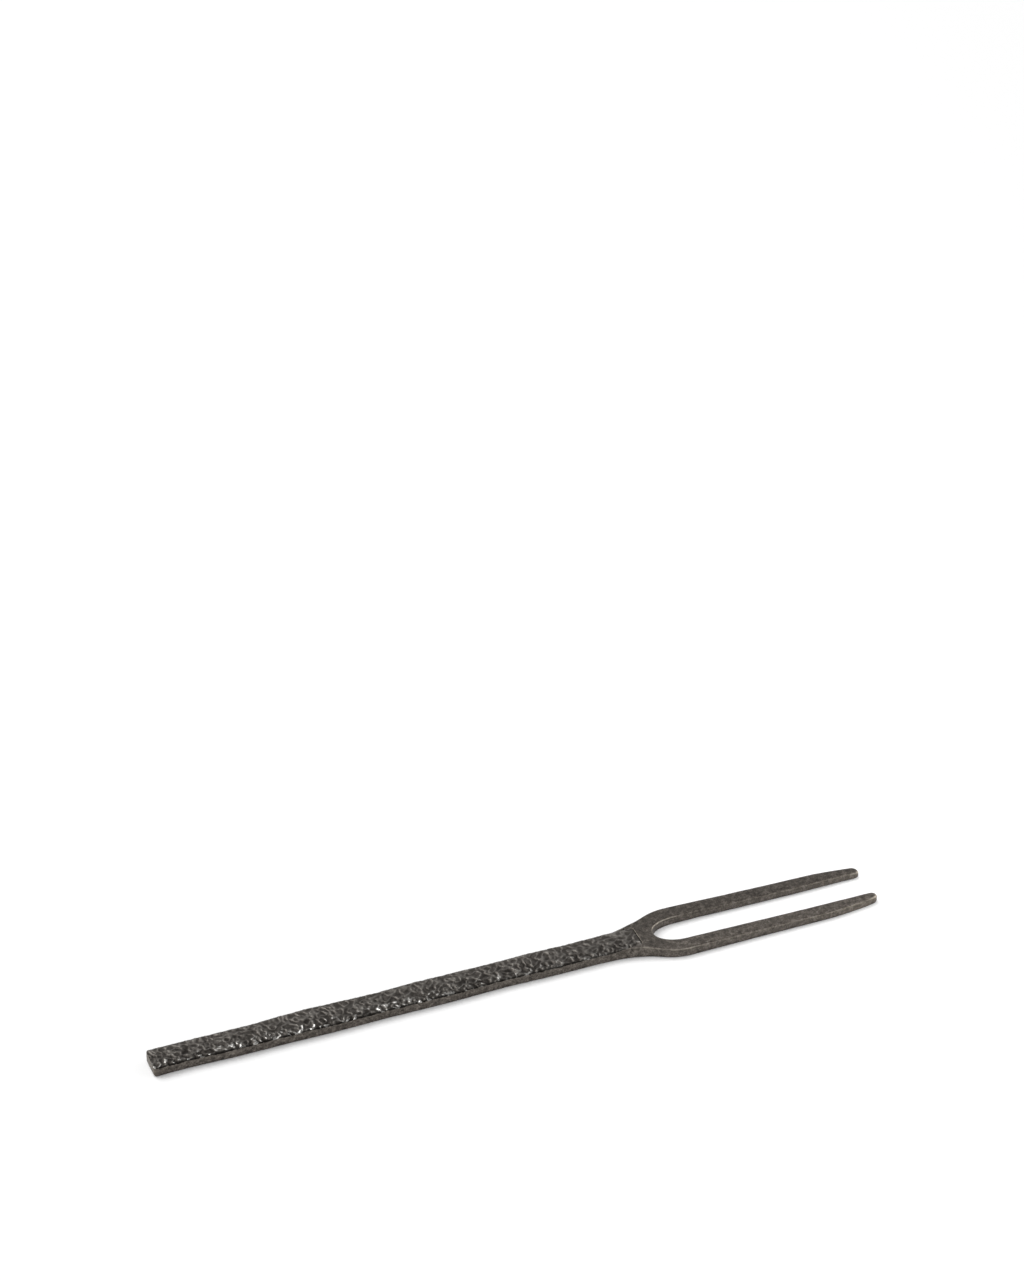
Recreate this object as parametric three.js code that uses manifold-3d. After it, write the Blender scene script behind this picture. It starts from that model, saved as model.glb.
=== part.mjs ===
// A slim two-tined fork in blackened metal: a smooth cast blank with a pitted plate
// soldered into a seat along the top of its handle.
// Millimetres, +Z up. The fork lies flat on z = 0 with its middle at the origin.
// +X runs towards the tine tips.

import * as THREE from 'three';
import { mergeVertices } from 'three/addons/utils/BufferGeometryUtils.js';
import Module from 'manifold-3d';

const wasm = await Module();
wasm.setup();

// Handle
const overallLength = 160;
const handleWidth = 6;
const buttCornerRadius = 0.7;
const tangThickness = 1.6;
const edgeRound = 0.3;

// Grip plate and its seat
const plateThickness = 0.9;
const filmThickness = 0.1;
const filmInset = 0.15;
const rimHeight = 0.05;
const plateCornerRadius = 1.0;
const seatClearance = 0.15;

// Pitted relief of the plate
const pitSpacing = 1.4;
const pitRadius = 0.85;
const pitDepth = 0.36;
const shallowestPit = 0.6; // share of the full depth
const edgeRoll = 0.25;
const edgeRollWidth = 0.6;
const reliefStep = 0.5;

// Head and tines in plan
const tineLength = 49.7;
const bridgeLength = 3.6;
const flareLength = 20.1;
const flareLead = 14;
const tineGapAtRoot = 7.4;
const tineGapAtTip = 7.1;
const crotchLength = 6.2;
const tineRootWidth = 3.6;
const tineBodyWidth = 3.28;
const tineTipWidth = 2.2;
const tipTaperLength = 13;
const tipNoseLength = 1.6;
const tipInnerRadius = 0.9;

// How full the flare's two bends and the tip's taper are, as shares of their lengths
const neckBend = 0.71;
const shoulderBend = 0.38;
const taperBend = 0.52;

// Head and tines in thickness
const shoulderThickness = 2.03;
const tipThickness = 1.65;

// Facets
const bevelSegments = 2;
const curveSegments = 10;
const cornerColumns = 5;
const tineStations = 6;

// Places along the fork
const buttX = -overallLength / 2;
const tipX = overallLength / 2;
const crotchX = tipX - tineLength;
const flareX = crotchX - flareLead;
const shoulderX = flareX + flareLength;
const taperX = tipX - tipTaperLength;
const noseX = tipX - tipNoseLength;
const plateEndX = crotchX - bridgeLength;

// Heights
const plateBottom = tangThickness + filmThickness;
const plateTop = plateBottom + plateThickness;
const neckThickness = plateTop + rimHeight;

const halfWidth = handleWidth / 2;

const blackenedCasting = new THREE.MeshStandardMaterial({
  color: 0x5a544b,
  roughness: 0.6,
  metalness: 0.8,
});
const blackenedPits = new THREE.MeshStandardMaterial({
  color: 0x45413b,
  roughness: 0.4,
  metalness: 0.85,
});
const solder = new THREE.MeshStandardMaterial({
  color: 0x77746e,
  roughness: 0.5,
  metalness: 0.9,
});

// A closed geometry as a solid that can be cut
function solidOf(geometry) {
  const bare = geometry.clone();
  bare.deleteAttribute('normal');
  bare.deleteAttribute('uv');
  const merged = mergeVertices(bare);
  return new wasm.Manifold(new wasm.Mesh({
    numProp: 3,
    vertProperties: new Float32Array(merged.attributes.position.array),
    triVerts: new Uint32Array(merged.index.array),
  }));
}

// A cut solid back as a geometry
function geometryOf(solid) {
  const { vertProperties, triVerts } = solid.getMesh();
  const geometry = new THREE.BufferGeometry();
  geometry.setAttribute('position', new THREE.BufferAttribute(new Float32Array(vertProperties), 3));
  geometry.setIndex(new THREE.BufferAttribute(new Uint32Array(triVerts), 1));
  geometry.computeVertexNormals();
  return geometry;
}

function namedMesh(name, geometry, material) {
  const mesh = new THREE.Mesh(geometry, material);
  mesh.name = name;
  return mesh;
}

// Half of the gap between the tines, at a place along them
function halfGapAt(x) {
  const gap = THREE.MathUtils.mapLinear(x, crotchX + crotchLength, tipX, tineGapAtRoot, tineGapAtTip);
  return gap / 2;
}

// Thickness of the head: it drops quickly from the neck to the shoulder, then ever less to the tips
function thicknessAt(x) {
  if (x <= plateEndX) {
    return neckThickness;
  }
  if (x >= shoulderX) {
    const toTip = (tipX - x) / (tipX - shoulderX);
    return tipThickness + (shoulderThickness - tipThickness) * toTip * toTip;
  }
  const left = (shoulderX - x) / (shoulderX - plateEndX);
  return shoulderThickness + (neckThickness - shoulderThickness) * left * left;
}

// Plan outline of the blank: one half from the butt round to the crotch, then its mirror image
function blankOutline() {
  const shoulderY = halfGapAt(shoulderX) + tineRootWidth;
  const taperY = halfGapAt(taperX) + tineBodyWidth;
  const noseY = halfGapAt(noseX) + tineTipWidth;
  const outerSlope = (taperY - shoulderY) / (taperX - shoulderX);
  const shoulderReach = shoulderBend * flareLength;
  const taperReach = taperBend * (noseX - taperX);
  const innerTipY = halfGapAt(tipX);
  const innerCornerY = innerTipY + tipInnerRadius;
  const crotchCentre = crotchX + crotchLength;

  const half = new THREE.Path();
  half.moveTo(buttX, 0);
  half.lineTo(buttX, halfWidth - buttCornerRadius);
  half.absarc(
    buttX + buttCornerRadius, halfWidth - buttCornerRadius, buttCornerRadius,
    Math.PI, Math.PI / 2, true,
  );
  half.lineTo(flareX, halfWidth);
  half.bezierCurveTo(
    flareX + neckBend * flareLength, halfWidth,
    shoulderX - shoulderReach, shoulderY - outerSlope * shoulderReach,
    shoulderX, shoulderY,
  );
  // Stations along a tine's straight sides let its top follow the thickness
  for (let k = 1; k <= tineStations; k += 1) {
    const share = k / tineStations;
    half.lineTo(
      THREE.MathUtils.lerp(shoulderX, taperX, share),
      THREE.MathUtils.lerp(shoulderY, taperY, share),
    );
  }
  half.quadraticCurveTo(taperX + taperReach, taperY + outerSlope * taperReach, noseX, noseY);
  half.absellipse(noseX, innerCornerY, tipNoseLength, noseY - innerCornerY, Math.PI / 2, 0, true);
  half.absarc(tipX - tipInnerRadius, innerCornerY, tipInnerRadius, 0, -Math.PI / 2, true);
  for (let k = 1; k <= tineStations; k += 1) {
    const x = THREE.MathUtils.lerp(tipX - tipInnerRadius, crotchCentre, k / tineStations);
    half.lineTo(x, halfGapAt(x));
  }
  half.absellipse(crotchCentre, 0, crotchLength, tineGapAtRoot / 2, Math.PI / 2, Math.PI, false);

  const upper = half.getPoints(curveSegments);
  const lower = upper.slice(1, -1).reverse().map((point) => new THREE.Vector2(point.x, -point.y));
  return new THREE.Shape([...upper, ...lower].reverse());
}

// A strip from the butt to the neck with two rounded corners at each end
function stripOutline(startX, endX, half, startRadius, endRadius) {
  const shape = new THREE.Shape();
  shape.moveTo(startX + startRadius, -half);
  shape.lineTo(endX - endRadius, -half);
  shape.absarc(endX - endRadius, -half + endRadius, endRadius, -Math.PI / 2, 0, false);
  shape.lineTo(endX, half - endRadius);
  shape.absarc(endX - endRadius, half - endRadius, endRadius, 0, Math.PI / 2, false);
  shape.lineTo(startX + startRadius, half);
  shape.absarc(startX + startRadius, half - startRadius, startRadius, Math.PI / 2, Math.PI, false);
  shape.lineTo(startX, -half + startRadius);
  shape.absarc(startX + startRadius, -half + startRadius, startRadius, Math.PI, Math.PI * 1.5, false);
  return shape;
}

function flatPlate(shape, bottom, height) {
  const options = { depth: height, bevelEnabled: false, curveSegments: cornerColumns };
  return new THREE.ExtrudeGeometry(shape, options).translate(0, 0, bottom);
}

// The blank: a rounded slab in plan outline, thinned towards the tips, with the plate's seat cut in
function buildBlank() {
  const slab = new THREE.ExtrudeGeometry(blankOutline(), {
    depth: neckThickness - 2 * edgeRound,
    bevelEnabled: true,
    bevelThickness: edgeRound,
    bevelSize: edgeRound,
    bevelOffset: -edgeRound,
    bevelSegments,
  }).translate(0, 0, edgeRound);

  const place = slab.attributes.position;
  for (let i = 0; i < place.count; i += 1) {
    if (place.getZ(i) > neckThickness / 2) {
      place.setZ(i, place.getZ(i) - neckThickness + thicknessAt(place.getX(i)));
    }
  }

  // The seat runs out past the butt and is wider than the handle, so only its neck end is a wall
  const seatOutline = stripOutline(
    buttX - handleWidth,
    plateEndX + seatClearance,
    halfWidth + seatClearance,
    buttCornerRadius,
    plateCornerRadius + seatClearance,
  );
  const seat = flatPlate(seatOutline, tangThickness, neckThickness);
  return geometryOf(solidOf(slab).subtract(solidOf(seat)));
}

// A repeatable fraction from 0 to 1 for one cell of the pit pattern
function fractionOf(column, row, salt) {
  let mix = Math.imul(column, 374761393) ^ Math.imul(row, 668265263) ^ Math.imul(salt, 1274126177);
  mix = Math.imul(mix ^ (mix >>> 13), 1103515245);
  return ((mix ^ (mix >>> 16)) >>> 0) / 2 ** 32;
}

// Depth of the pits at a point: round hollows, one in each cell, that meet in thin ridges
function pitDepthAt(x, y) {
  const column = Math.floor(x / pitSpacing);
  const row = Math.floor(y / pitSpacing);
  let deepest = 0;
  for (let i = column - 1; i <= column + 1; i += 1) {
    for (let j = row - 1; j <= row + 1; j += 1) {
      const centreX = (i + fractionOf(i, j, 1)) * pitSpacing;
      const centreY = (j + fractionOf(i, j, 2)) * pitSpacing;
      const reach = Math.hypot(x - centreX, y - centreY) / pitRadius;
      const fullness = THREE.MathUtils.lerp(shallowestPit, 1, fractionOf(i, j, 3));
      deepest = Math.max(deepest, fullness * (1 - reach * reach));
    }
  }
  return pitDepth * deepest;
}

// Places of the plate's columns along X: close together round the corners, even between them
function plateColumns() {
  const columns = [];
  for (let k = 0; k < cornerColumns; k += 1) {
    const turn = (Math.PI / 2) * (k / cornerColumns);
    columns.push(buttX + buttCornerRadius * (1 - Math.cos(turn)));
  }
  const evenStart = buttX + buttCornerRadius;
  const evenEnd = plateEndX - plateCornerRadius;
  const evenCount = Math.round((evenEnd - evenStart) / reliefStep);
  for (let k = 0; k < evenCount; k += 1) {
    columns.push(THREE.MathUtils.lerp(evenStart, evenEnd, k / evenCount));
  }
  for (let k = 0; k <= cornerColumns; k += 1) {
    const turn = (Math.PI / 2) * (k / cornerColumns);
    columns.push(evenEnd + plateCornerRadius * Math.sin(turn));
  }
  return columns;
}

// Half width of the plate at a place along it, drawn in round the four corners
function plateHalfWidthAt(x) {
  const buttReach = Math.max(0, buttX + buttCornerRadius - x);
  const neckReach = Math.max(0, x - plateEndX + plateCornerRadius);
  const buttSide = buttCornerRadius - Math.sqrt(Math.max(0, buttCornerRadius ** 2 - buttReach ** 2));
  const neckSide = plateCornerRadius - Math.sqrt(Math.max(0, plateCornerRadius ** 2 - neckReach ** 2));
  return halfWidth - buttSide - neckSide;
}

// The grip plate: a block of even columns and rows whose top is pitted and rolls over at its sides
function buildGripPlate() {
  const columns = plateColumns();
  const lastColumn = columns.length - 1;
  const rowCount = Math.round(handleWidth / reliefStep);
  const block = new THREE.BoxGeometry(1, 1, 1, lastColumn, rowCount, 1);

  const place = block.attributes.position;
  for (let i = 0; i < place.count; i += 1) {
    const x = columns[Math.round((place.getX(i) + 0.5) * lastColumn)];
    const y = 2 * place.getY(i) * plateHalfWidthAt(x);
    const toSide = plateHalfWidthAt(x) - Math.abs(y);
    const roll = edgeRoll * (1 - THREE.MathUtils.smoothstep(toSide, 0, edgeRollWidth));
    const top = plateTop - pitDepthAt(x, y) - roll;
    place.setXYZ(i, x, y, place.getZ(i) > 0 ? top : plateBottom - plateThickness);
  }

  // Trimming the underside leaves it as one flat face
  const below = new THREE.BoxGeometry(2 * overallLength, 2 * handleWidth, 2 * plateThickness);
  below.translate(0, 0, plateBottom - plateThickness);
  return geometryOf(solidOf(block).subtract(solidOf(below)));
}

// The solder under the plate, held back from its edges
function buildSolderFilm() {
  const outline = stripOutline(
    buttX + filmInset,
    plateEndX - filmInset,
    halfWidth - filmInset,
    buttCornerRadius,
    plateCornerRadius,
  );
  return flatPlate(outline, tangThickness, filmThickness);
}

const fork = new THREE.Group();
fork.add(namedMesh('fork_blank', buildBlank(), blackenedCasting));
fork.add(namedMesh('grip_plate', buildGripPlate(), blackenedPits));
fork.add(namedMesh('solder_film', buildSolderFilm(), solder));

export default fork;
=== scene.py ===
"""Looks of a slim two-tined fork: a blackened brass casting with a pitted plate let into its handle.

Lengths are in metres, in the frame's own axes. The fork lies flat on z = 0 and +X runs to its tips.
"""

import logging
import math
from dataclasses import dataclass, field
from enum import Enum
from typing import Callable, Sequence

import bpy
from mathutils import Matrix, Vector, noise


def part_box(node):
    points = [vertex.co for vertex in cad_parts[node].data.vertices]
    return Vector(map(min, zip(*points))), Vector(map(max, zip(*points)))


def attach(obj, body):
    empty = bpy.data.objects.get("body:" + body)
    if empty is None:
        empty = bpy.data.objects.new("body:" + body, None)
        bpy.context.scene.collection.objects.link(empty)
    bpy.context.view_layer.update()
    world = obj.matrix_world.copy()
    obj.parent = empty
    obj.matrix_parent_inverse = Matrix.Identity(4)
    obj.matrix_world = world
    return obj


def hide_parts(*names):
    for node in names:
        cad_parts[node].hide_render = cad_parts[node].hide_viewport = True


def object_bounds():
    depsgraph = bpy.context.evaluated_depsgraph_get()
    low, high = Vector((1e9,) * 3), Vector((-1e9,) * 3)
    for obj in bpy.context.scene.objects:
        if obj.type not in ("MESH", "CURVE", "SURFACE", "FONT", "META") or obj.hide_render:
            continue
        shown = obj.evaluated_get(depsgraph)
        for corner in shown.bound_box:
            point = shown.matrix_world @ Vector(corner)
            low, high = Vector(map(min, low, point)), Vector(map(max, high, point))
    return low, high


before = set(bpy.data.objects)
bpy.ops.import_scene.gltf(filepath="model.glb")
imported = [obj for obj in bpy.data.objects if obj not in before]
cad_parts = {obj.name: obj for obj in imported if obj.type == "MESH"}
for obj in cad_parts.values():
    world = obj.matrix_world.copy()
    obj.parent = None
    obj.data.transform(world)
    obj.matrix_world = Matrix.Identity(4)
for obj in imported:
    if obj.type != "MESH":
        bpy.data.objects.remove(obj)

MM = 0.001
CAD_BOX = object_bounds()
BUTT_X, TIP_X = CAD_BOX[0].x, CAD_BOX[1].x
SNUG = MM / 1000
NOISE_MIDDLE = 0.5
Colour = tuple[float, float, float, float]
Span = tuple[float, float]
Socket = bpy.types.NodeSocket
log = logging.getLogger("fork")


class Pick(Enum):
    """The kind of element that edit mode selects."""

    POINTS = "VERT"
    EDGES = "EDGE"
    FACES = "FACE"


def linear(colour: str) -> Colour:
    """Turns an sRGB hex colour to the linear values that the shaders take.

    Args:
        colour: Six hex digits after a hash sign.

    Returns:
        Linear red, green and blue, with full alpha.
    """
    shares = [int(colour[i:i + 2], 16) / 255 for i in (1, 3, 5)]
    red, green, blue = [s / 12.92 if s <= 0.04045 else ((s + 0.055) / 1.055) ** 2.4 for s in shares]
    return red, green, blue, 1.0


def add_node(tree: bpy.types.NodeTree, kind: str, inputs: dict, **settings: object) -> bpy.types.Node:
    """Adds one shader node, with its settings, values and links.

    Args:
        tree: The material's node tree.
        kind: The node's type name.
        inputs: Values or other nodes' output sockets, by input name or index.
        settings: The node's own properties.

    Returns:
        The new node.
    """
    node = tree.nodes.new(kind)
    for name, value in settings.items():
        setattr(node, name, value)
    for name, value in inputs.items():
        if isinstance(value, Socket):
            tree.links.new(value, node.inputs[name])
        else:
            node.inputs[name].default_value = value
    return node


def grey(level: float) -> Colour:
    """A plain grey of a linear level from 0 to 1, for masks and heights."""
    return level, level, level, 1.0


def shape_ramp(ramp: bpy.types.ColorRamp, stops: Sequence[tuple[float, Colour]]) -> None:
    """Sets a colour ramp's stops.

    Args:
        ramp: The ramp of a shader node or a texture.
        stops: Places from 0 to 1, each with its linear colour.
    """
    while len(ramp.elements) < len(stops):
        ramp.elements.new(1.0)
    for element, (place, colour) in zip(ramp.elements, stops):
        element.position = place
        element.color = colour


def new_material(name: str) -> tuple[bpy.types.Material, bpy.types.NodeTree]:
    """Makes an empty node material.

    Args:
        name: What the material is and how its surface was made.

    Returns:
        The material and its node tree.
    """
    material = bpy.data.materials.new(name)
    material.use_nodes = True
    material.node_tree.nodes.clear()
    return material, material.node_tree


def select_only(piece: bpy.types.Object) -> None:
    """Selects one object alone and makes it the active one.

    Args:
        piece: The object.
    """
    bpy.ops.object.select_all(action="DESELECT")
    piece.select_set(True)
    bpy.context.view_layer.objects.active = piece


def edit(piece: bpy.types.Object, kind: Pick, test: Callable[[Vector], bool] | None = None) -> None:
    """Opens a piece in edit mode with some of its elements selected.

    Args:
        piece: The mesh object.
        kind: Points, edges or faces.
        test: Says from an element's middle whether it is selected. All are if it is left out.
    """
    select_only(piece)
    bpy.ops.object.mode_set(mode="EDIT")
    bpy.ops.mesh.select_mode(type=kind.value)
    bpy.ops.mesh.select_all(action="SELECT" if test is None else "DESELECT")
    if test is None:
        return
    bpy.ops.object.mode_set(mode="OBJECT")
    points = piece.data.vertices
    if kind is Pick.POINTS:
        for point in points:
            point.select = test(point.co)
    elif kind is Pick.EDGES:
        for line in piece.data.edges:
            line.select = test((points[line.vertices[0]].co + points[line.vertices[1]].co) / 2)
    else:
        for face in piece.data.polygons:
            face.select = test(face.center)
    bpy.ops.object.mode_set(mode="EDIT")


def leave_edit() -> None:
    """Goes back from edit mode to object mode."""
    bpy.ops.object.mode_set(mode="OBJECT")


def finish_with(piece: bpy.types.Object, kind: str, **settings: object) -> None:
    """Adds one modifier to a piece and applies it.

    Args:
        piece: The mesh object.
        kind: The modifier's type name.
        settings: The modifier's own properties.
    """
    modifier = piece.modifiers.new(kind, kind)
    for name, value in settings.items():
        setattr(modifier, name, value)
    select_only(piece)
    bpy.ops.object.modifier_apply(modifier=modifier.name)


def smooth(piece: bpy.types.Object, angle: float) -> None:
    """Shades a piece smooth, apart from the edges that turn by more than an angle in radians."""
    select_only(piece)
    bpy.ops.object.shade_smooth_by_angle(angle=angle)


def raise_slab(name: str, outline: Sequence[Vector], low: float, high: float) -> bpy.types.Object:
    """Models a slab with a plan outline.

    Args:
        name: The piece's name.
        outline: The points in order round the slab.
        low: The height of its underside.
        high: The height of its top.

    Returns:
        The slab, in object mode.
    """
    bpy.ops.object.select_all(action="DESELECT")
    bpy.ops.mesh.primitive_circle_add(vertices=len(outline), fill_type="NGON")
    slab = bpy.context.object
    slab.name = name
    for point, place in zip(slab.data.vertices, outline):
        point.co = (place.x, place.y, low)
    edit(slab, Pick.FACES)
    bpy.ops.mesh.extrude_region_move(TRANSFORM_OT_translate={"value": (0, 0, high - low)})
    bpy.ops.mesh.select_all(action="SELECT")
    bpy.ops.mesh.normals_make_consistent(inside=False)
    leave_edit()
    return slab


def ease(share: float) -> float:
    """Turns an even share from 0 to 1 into one that starts and ends gently, held within 0 and 1."""
    held = min(1.0, max(0.0, share))
    return held * held * (3 - 2 * held)


def arc(centre: Vector, radii: Vector, start: float, end: float, steps: int) -> list[Vector]:
    """Points along part of an ellipse, both ends included.

    Args:
        centre: The ellipse's middle.
        radii: Its half lengths along X and Y.
        start: First angle in degrees, from +X towards +Y.
        end: Last angle in degrees.
        steps: The number of straight steps.

    Returns:
        The points in order.
    """
    points = []
    for step in range(steps + 1):
        turn = math.radians(start + (end - start) * step / steps)
        points.append(centre + Vector((radii.x * math.cos(turn), radii.y * math.sin(turn))))
    return points


def bend(controls: Sequence[Vector], steps: int) -> list[Vector]:
    """Points along a Bezier curve, both ends included.

    Args:
        controls: The curve's control points, of any number.
        steps: The number of straight steps.

    Returns:
        The points in order.
    """
    points = []
    for step in range(steps + 1):
        rung = list(controls)
        while len(rung) > 1:
            rung = [a.lerp(b, step / steps) for a, b in zip(rung, rung[1:])]
        points.append(rung[0])
    return points


def close_metal(
    tree: bpy.types.NodeTree, colour: Socket, rough: Socket, grain: Socket, depth: float,
) -> None:
    """Joins a metal's colour, roughness and grain to its output.

    Args:
        tree: The material's node tree.
        colour: The metal's colour.
        rough: Its roughness.
        grain: The pattern of its grain.
        depth: How deep the grain is.
    """
    bump = add_node(tree, "ShaderNodeBump", {
        "Height": grain, "Distance": depth, "Strength": 1.0,
    }).outputs["Normal"]
    shader = add_node(tree, "ShaderNodeBsdfPrincipled", {
        "Base Color": colour, "Metallic": 1.0, "Roughness": rough, "Normal": bump,
    })
    add_node(tree, "ShaderNodeOutputMaterial", {"Surface": shader.outputs["BSDF"]})


@dataclass(frozen=True)
class Surface:
    """What a metal reads at a point: its distance from both ends, its place across, and two patterns."""

    from_butt: Socket
    to_tip: Socket
    across: Socket
    mottle: Socket
    grain: Socket

    @classmethod
    def read(cls, tree: bpy.types.NodeTree, mottle_size: float, grain_size: float) -> "Surface":
        """Adds the nodes that read a point.

        Args:
            tree: The material's node tree.
            mottle_size: Width of the blotches that the blackening left.
            grain_size: Width of the cast grain.

        Returns:
            The nodes' sockets.
        """
        where = add_node(tree, "ShaderNodeTexCoord", {}).outputs["Object"]
        split = add_node(tree, "ShaderNodeSeparateXYZ", {"Vector": where}).outputs
        from_butt = add_node(tree, "ShaderNodeMath", {0: split["X"], 1: BUTT_X}, operation="SUBTRACT")
        to_tip = add_node(tree, "ShaderNodeMath", {0: TIP_X, 1: split["X"]}, operation="SUBTRACT")
        mottle = add_node(tree, "ShaderNodeTexNoise", {
            "Vector": where, "Scale": 1 / mottle_size, "Detail": 2.0, "Roughness": 0.6,
        })
        grain = add_node(tree, "ShaderNodeTexNoise", {
            "Vector": where, "Scale": 1 / grain_size, "Detail": 1.0,
        })
        return cls(
            from_butt=from_butt.outputs[0], to_tip=to_tip.outputs[0], across=split["Y"],
            mottle=mottle.outputs["Fac"], grain=grain.outputs["Fac"],
        )


@dataclass(frozen=True)
class CastBrass:
    """Brass cast in sand, tumbled and chemically blackened.

    The eye sees a warm dark grey with a soft sheen, mottled where the blackening took unevenly, and a
    fine cast grain that stands out on the walls. Painted light and shade lie across the fork, the tops
    lighter on the near side and the walls lighter on the far side, and a painted shade darkens the foot.
    The edges, the walls of the tips and the butt are paler, partly where handling rubs them and partly
    as painted highlight. A span says where a change starts and ends: along the fork, across it, or by
    how far the surface faces up.
    """

    name: str = "blackened cast brass, tumbled"
    dark: str = "#3a3633"
    middle: str = "#645e58"
    # Paler metal of the edges and the ends, which also stands for painted highlights
    pale: str = "#918a82"
    rubbed_and_highlit: str = "#a49d92"
    bare_and_highlight: str = "#b8ad9a"
    # Painted light and shade across the fork: on the tops, and apart on the walls
    near_shade: float = 1.03
    far_shade: float = 0.75
    near_wall_shade: float = 0.77
    far_wall_shade: float = 1.1
    shade_reach: float = 7 * MM
    # Painted shade on the foot, where the underside faces down to the paper
    foot_shade: float = 0.5
    top_to_wall: Span = (0.85, 0.35)
    foot_to_wall: Span = (-0.6, -0.1)
    mottle_size: float = 1.0 * MM
    # Finer on the real casting, and drawn as coarse as it needs to show
    grain_size: float = 0.34 * MM
    grain_depth: float = 0.03 * MM
    grain_share: float = 0.4
    wall_contrast: float = 1.5
    contrast_fade: Span = (65 * MM, 40 * MM)
    # Rubbing and painted highlights on the edges, strongest at the crotch and the noses, and on the tip
    # walls and the butt
    edge_rub_and_highlight: float = 0.2
    crotch_rub_and_highlight: float = 1.1
    crotch_to_tip: float = 48.5 * MM
    crotch_rub_fade: Span = (7.5 * MM, 5 * MM)
    nose_rub_and_highlight: float = 1.6
    nose_rub_fade: Span = (3 * MM, 0.5 * MM)
    tip_wear_and_highlight: float = 0.24
    tip_wear_fade: Span = (20 * MM, 2 * MM)
    # The tip walls on the far side get less of it: painted light
    far_tip_share: float = 0.25
    far_to_near_tip: Span = (3 * MM, -5 * MM)
    butt_wear_and_highlight: float = 0.3
    butt_wear_fade: Span = (0.6 * MM, 0.0)
    wear_patches: Span = (0.4, 0.6)
    least_wear: float = 0.3
    most_wear: float = 0.6
    sheen_patches: Span = (0.35, 0.65)
    smoothest: float = 0.42
    roughest: float = 0.56

    def ground(self, tree: bpy.types.NodeTree, surface: Surface, wall: Socket) -> Socket:
        """Adds the mottled colour that the blackening gave, with painted light and shade across the fork
        and on the walls.

        Args:
            tree: The material's node tree.
            surface: What the metal reads at a point.
            wall: How far a point faces sideways, from 0 on the top to 1 on a wall.

        Returns:
            The colour.
        """
        uneven = add_node(tree, "ShaderNodeMix", {
            0: self.grain_share, 2: surface.mottle, 3: surface.grain,
        }).outputs[0]
        coarse = add_node(tree, "ShaderNodeMapRange", {
            "Value": surface.to_tip,
            "From Min": self.contrast_fade[0], "From Max": self.contrast_fade[1],
            "To Min": self.wall_contrast, "To Max": 1.0,
        }).outputs["Result"]
        contrast = add_node(tree, "ShaderNodeMapRange", {
            "Value": wall, "To Min": 1.0, "To Max": coarse,
        }).outputs["Result"]
        off_middle = add_node(tree, "ShaderNodeMath", {
            0: uneven, 1: NOISE_MIDDLE,
        }, operation="SUBTRACT").outputs[0]
        level = add_node(tree, "ShaderNodeMath", {
            0: off_middle, 1: contrast, 2: NOISE_MIDDLE,
        }, operation="MULTIPLY_ADD").outputs[0]
        tone = add_node(tree, "ShaderNodeValToRGB", {"Fac": level})
        shape_ramp(tone.color_ramp, [
            (0.24, linear(self.dark)), (0.5, linear(self.middle)), (0.76, linear(self.pale)),
        ])

        # Painted light and shade across the fork: the tops lighter on the near side and darker on the
        # far side, the walls darker on the near side and lighter on the far side
        shade = add_node(tree, "ShaderNodeMapRange", {
            "Value": surface.across, "From Min": -self.shade_reach, "From Max": self.shade_reach,
            "To Min": self.near_shade, "To Max": self.far_shade,
        }).outputs["Result"]
        dim = add_node(tree, "ShaderNodeMapRange", {
            "Value": surface.across, "From Min": -self.shade_reach, "From Max": self.shade_reach,
            "To Min": self.near_wall_shade, "To Max": self.far_wall_shade,
        }).outputs["Result"]
        wall_shade = add_node(tree, "ShaderNodeMapRange", {
            "Value": wall, "To Min": 1.0, "To Max": dim,
        }).outputs["Result"]
        shaded = add_node(tree, "ShaderNodeMath", {
            0: shade, 1: wall_shade,
        }, operation="MULTIPLY").outputs[0]
        return add_node(tree, "ShaderNodeVectorMath", {
            0: tone.outputs["Color"], "Scale": shaded,
        }, operation="SCALE").outputs["Vector"]

    def wear_and_painted_light(
        self, tree: bpy.types.NodeTree, surface: Surface, upward: Socket, wall: Socket, ground: Socket,
    ) -> Socket:
        """Adds the paler metal of the edges, the tips and the butt, partly where handling rubs them and
        partly painted highlight.

        Args:
            tree: The material's node tree.
            surface: What the metal reads at a point.
            upward: How far a point faces up, from -1 to 1.
            wall: How far it faces sideways, from 0 on the top to 1 on a wall.
            ground: The blackened colour.

        Returns:
            The colour with its rubbing and painted highlights.
        """
        patches = add_node(tree, "ShaderNodeMapRange", {
            "Value": surface.mottle,
            "From Min": self.wear_patches[0], "From Max": self.wear_patches[1],
            "To Min": self.least_wear, "To Max": self.most_wear,
        }).outputs["Result"]

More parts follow.
